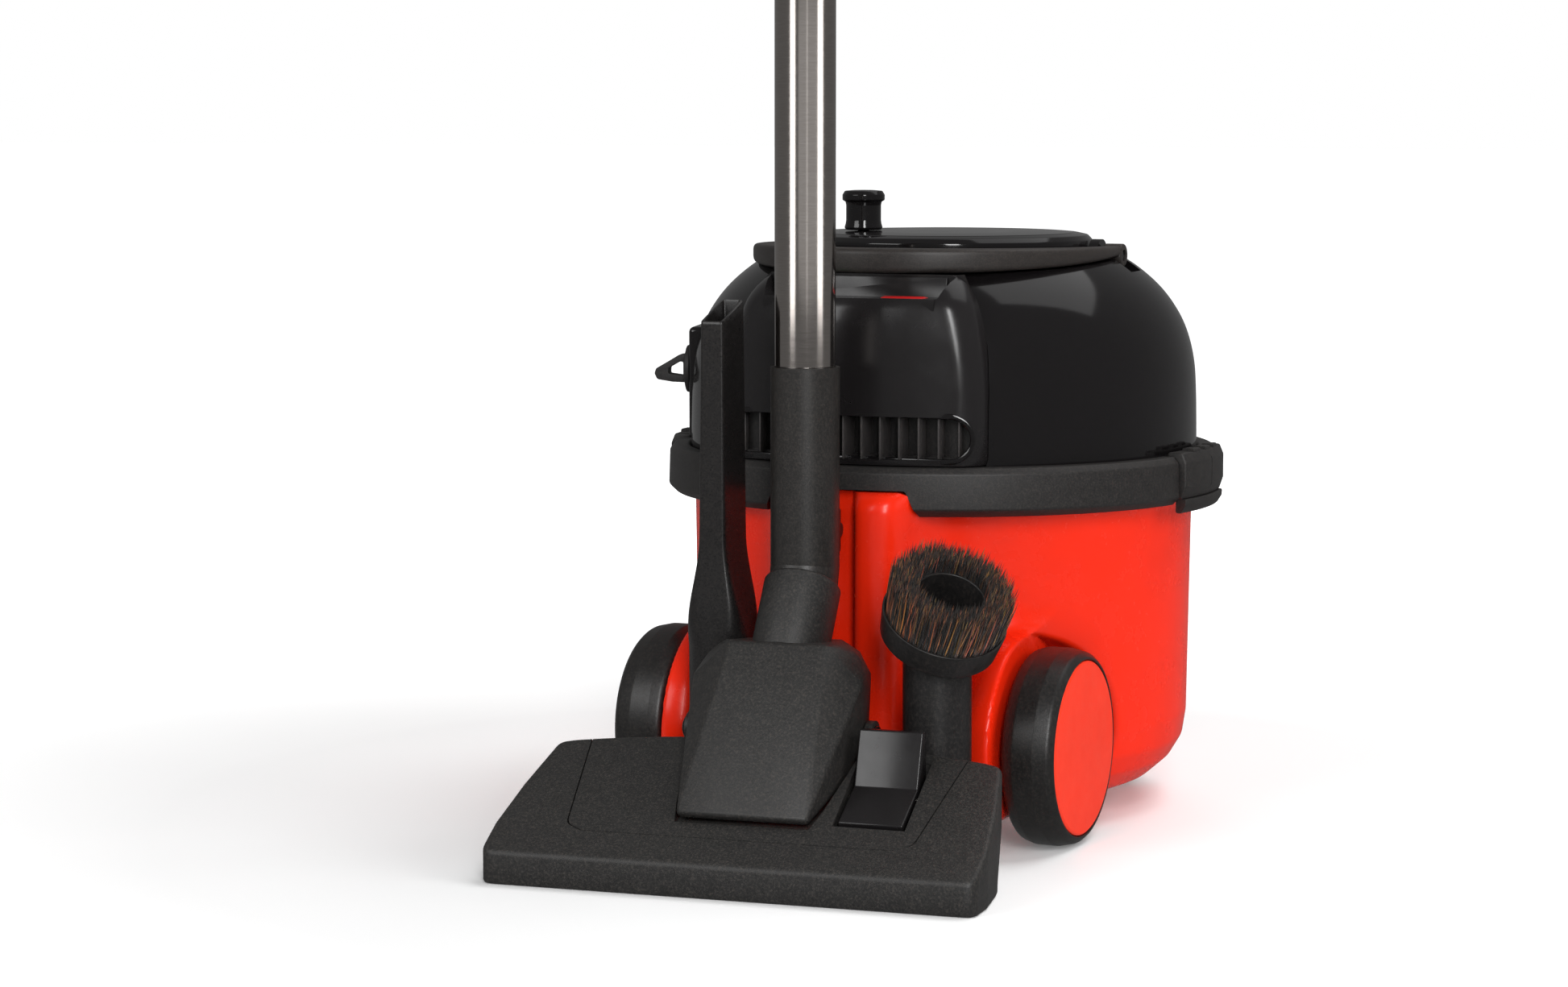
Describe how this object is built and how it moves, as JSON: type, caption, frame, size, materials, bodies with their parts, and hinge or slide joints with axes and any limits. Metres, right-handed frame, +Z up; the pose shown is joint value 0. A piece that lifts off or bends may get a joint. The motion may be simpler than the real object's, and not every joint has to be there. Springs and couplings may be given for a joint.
{
  "type": "shop vacuum",
  "caption": "Compact cylinder vacuum cleaner with a domed head, stored with its wand, floor tool, crevice tool and dusting brush parked on the back.",
  "frame": {"origin": "on the floor, at the middle of the outline seen from above", "axes": "+Z up; +Y towards the hose inlet; the rear wheels and the parked tools are on the -Y side; +X to the right when the back is looked at"},
  "size_m": [0.3227, 0.4906, 0.636],
  "materials": {
    "tub_red": "glossy moulded red plastic",
    "hub_red": "satin red plastic",
    "gloss_black": "high gloss black plastic",
    "satin_black": "satin black plastic",
    "charcoal": "charcoal plastic with a fine speckled grain",
    "rubber": "soft black rubber",
    "tyre": "satin black tread",
    "steel": "brushed steel",
    "iron": "laminated iron",
    "copper": "enamelled copper winding",
    "paper": "plain paper",
    "cloth": "felted grey filter cloth",
    "hair": "dark horsehair",
    "rocker_red": "glossy red plastic",
    "rocker_green": "glossy green plastic",
    "board": "green circuit board"
  },
  "bodies": {
    "base": {"tub": "tub_red", "bumper_ring": "charcoal", "inlet_port": "satin_black", "inlet_seal": "rubber", "rim_gasket": "rubber", "bag_collar": "paper", "dust_bag": "paper", "filter_frame": "satin_black", "filter_cloth": "cloth", "rear_axle": "steel", "tool_caddy": "satin_black"},
    "rear_wheel_right": {"tyre_right": "tyre", "hub_cap_right": "hub_red"},
    "rear_wheel_left": {"tyre_left": "tyre", "hub_cap_left": "hub_red"},
    "castor_right": {"castor_fork_right": "satin_black"},
    "castor_left": {"castor_fork_left": "satin_black"},
    "castor_roller_right": {"castor_wheel_right": "rubber"},
    "castor_roller_left": {"castor_wheel_left": "rubber"},
    "latch_right": {"latch_right": "charcoal"},
    "latch_left": {"latch_left": "charcoal"},
    "head": {"dome_cover": "gloss_black", "rear_panel": "satin_black", "vent_grille": "satin_black", "switch_tray": "gloss_black", "cord_outlet": "gloss_black", "cord_plug": "rubber", "cord_lead": "rubber", "motor_can": "steel", "stator_winding": "copper", "motor_plate": "satin_black", "control_board": "board", "reel_post": "steel"},
    "rotor": {"motor_shaft": "steel", "rotor": "iron", "fan_impeller": "satin_black"},
    "reel": {"winder_disc": "gloss_black", "reel_drum": "satin_black", "cord_winding": "rubber"},
    "knob": {"winder_knob": "gloss_black"},
    "handle": {"carry_handle": "charcoal"},
    "power_rocker": {"power_rocker": "rocker_green"},
    "speed_rocker": {"speed_rocker": "rocker_red"},
    "crevice_tool": {"crevice_tool": "charcoal"},
    "dusting_brush": {"brush_body": "satin_black", "brush_bristles": "hair"},
    "wand_holder": {"wand_elbow": "charcoal"},
    "wand": {"wand_tube": "steel"},
    "neck": {"neck_hood": "charcoal"},
    "floor_tool": {"floor_tool_base": "charcoal", "floor_tool_cover": "charcoal", "pedal_pin": "steel", "sole_plate": "steel", "pivot_screw_right": "steel", "pivot_screw_left": "steel"},
    "pedal": {"pedal": "satin_black"},
    "brush_strip": {"brush_strip": "hair"},
    "floor_tool_wheel_right": {"floor_tool_wheel_right": "rubber"},
    "floor_tool_wheel_left": {"floor_tool_wheel_left": "rubber"}
  },
  "joints": [
    {"name": "rear_wheel_right_spin", "type": "hinge", "parent": "base", "child": "rear_wheel_right", "pos_m": [0.11235, -0.02924, 0.053], "axis": [1, 0, 0], "continuous": true},
    {"name": "rear_wheel_left_spin", "type": "hinge", "parent": "base", "child": "rear_wheel_left", "pos_m": [-0.11165, -0.02924, 0.053], "axis": [1, 0, 0], "continuous": true},
    {"name": "castor_right_swivel", "type": "hinge", "parent": "base", "child": "castor_right", "pos_m": [0.07635, 0.16176, 0.02], "axis": [0, 0, 1], "continuous": true},
    {"name": "castor_left_swivel", "type": "hinge", "parent": "base", "child": "castor_left", "pos_m": [-0.07565, 0.16176, 0.02], "axis": [0, 0, 1], "continuous": true},
    {"name": "castor_right_roll", "type": "hinge", "parent": "castor_right", "child": "castor_roller_right", "pos_m": [0.08201, 0.16742, 0.011], "axis": [-0.7071, 0.7071, 0], "continuous": true},
    {"name": "castor_left_roll", "type": "hinge", "parent": "castor_left", "child": "castor_roller_left", "pos_m": [-0.08131, 0.16742, 0.011], "axis": [0.7071, 0.7071, 0], "continuous": true},
    {"name": "latch_right_swing", "type": "hinge", "parent": "base", "child": "latch_right", "pos_m": [0.15235, 0.08776, 0.181], "axis": [0, 1, 0], "range_deg": [0, 45]},
    {"name": "latch_left_swing", "type": "hinge", "parent": "base", "child": "latch_left", "pos_m": [-0.15165, 0.08776, 0.181], "axis": [0, -1, 0], "range_deg": [0, 45]},
    {"name": "head_lift", "type": "slide", "parent": "base", "child": "head", "axis": [0, 0, 1], "range_m": [0, 0.25]},
    {"name": "motor_spin", "type": "hinge", "parent": "head", "child": "rotor", "pos_m": [0.00035, 0.08776, 0.24], "axis": [0, 0, 1], "continuous": true},
    {"name": "reel_spin", "type": "hinge", "parent": "head", "child": "reel", "pos_m": [0.00035, 0.08776, 0.3], "axis": [0, 0, 1], "continuous": true},
    {"name": "knob_spin", "type": "hinge", "parent": "reel", "child": "knob", "pos_m": [-0.03965, 0.06476, 0.33], "axis": [0, 0, 1], "continuous": true},
    {"name": "handle_lift", "type": "hinge", "parent": "head", "child": "handle", "pos_m": [0.00035, 0.09976, 0.31], "axis": [-1, 0, 0], "range_deg": [0, 95]},
    {"name": "power_rocker_tip", "type": "hinge", "parent": "head", "child": "power_rocker", "pos_m": [-0.02865, -0.04324, 0.29], "axis": [1, 0, 0], "range_deg": [-7, 7]},
    {"name": "speed_rocker_tip", "type": "hinge", "parent": "head", "child": "speed_rocker", "pos_m": [0.02935, -0.04324, 0.29], "axis": [1, 0, 0], "range_deg": [-7, 7]},
    {"name": "crevice_tool_lift", "type": "slide", "parent": "base", "child": "crevice_tool", "axis": [0, 0, 1], "range_m": [0, 0.1]},
    {"name": "dusting_brush_lift", "type": "slide", "parent": "base", "child": "dusting_brush", "axis": [0, 0, 1], "range_m": [0, 0.1]},
    {"name": "wand_undock", "type": "slide", "parent": "base", "child": "wand_holder", "axis": [0, -0.9397, 0.342], "range_m": [0, 0.15]},
    {"name": "wand_pull", "type": "slide", "parent": "wand_holder", "child": "wand", "axis": [0, 0, 1], "range_m": [0, 0.1]},
    {"name": "neck_swivel", "type": "hinge", "parent": "wand_holder", "child": "neck", "pos_m": [-0.00329, -0.10057, 0.148], "axis": [-0.0536, 0.5566, 0.829], "range_deg": [-3, 3]},
    {"name": "floor_tool_tilt", "type": "hinge", "parent": "neck", "child": "floor_tool", "pos_m": [0.00042, -0.13909, 0.07], "axis": [0.9954, 0.0958, 0], "range_deg": [0, 8]},
    {"name": "pedal_press", "type": "hinge", "parent": "floor_tool", "child": "pedal", "pos_m": [0.06899, -0.16263, 0.044], "axis": [-0.9954, -0.0958, 0], "range_deg": [0, 9]},
    {"name": "brush_strip_drop", "type": "slide", "parent": "floor_tool", "child": "brush_strip", "axis": [0, 0, -1], "range_m": [0, 0.0045]},
    {"name": "floor_tool_wheel_right_roll", "type": "hinge", "parent": "floor_tool", "child": "floor_tool_wheel_right", "pos_m": [0.11359, -0.15632, 0.007], "axis": [0.9954, 0.0958, 0], "continuous": true},
    {"name": "floor_tool_wheel_left_roll", "type": "hinge", "parent": "floor_tool", "child": "floor_tool_wheel_left", "pos_m": [-0.10739, -0.1776, 0.007], "axis": [0.9954, 0.0958, 0], "continuous": true}
  ],
  "couplings": [
    {"joint": "brush_strip_drop", "follows": "pedal_press", "m_per_rad": 0.028619}
  ]
}
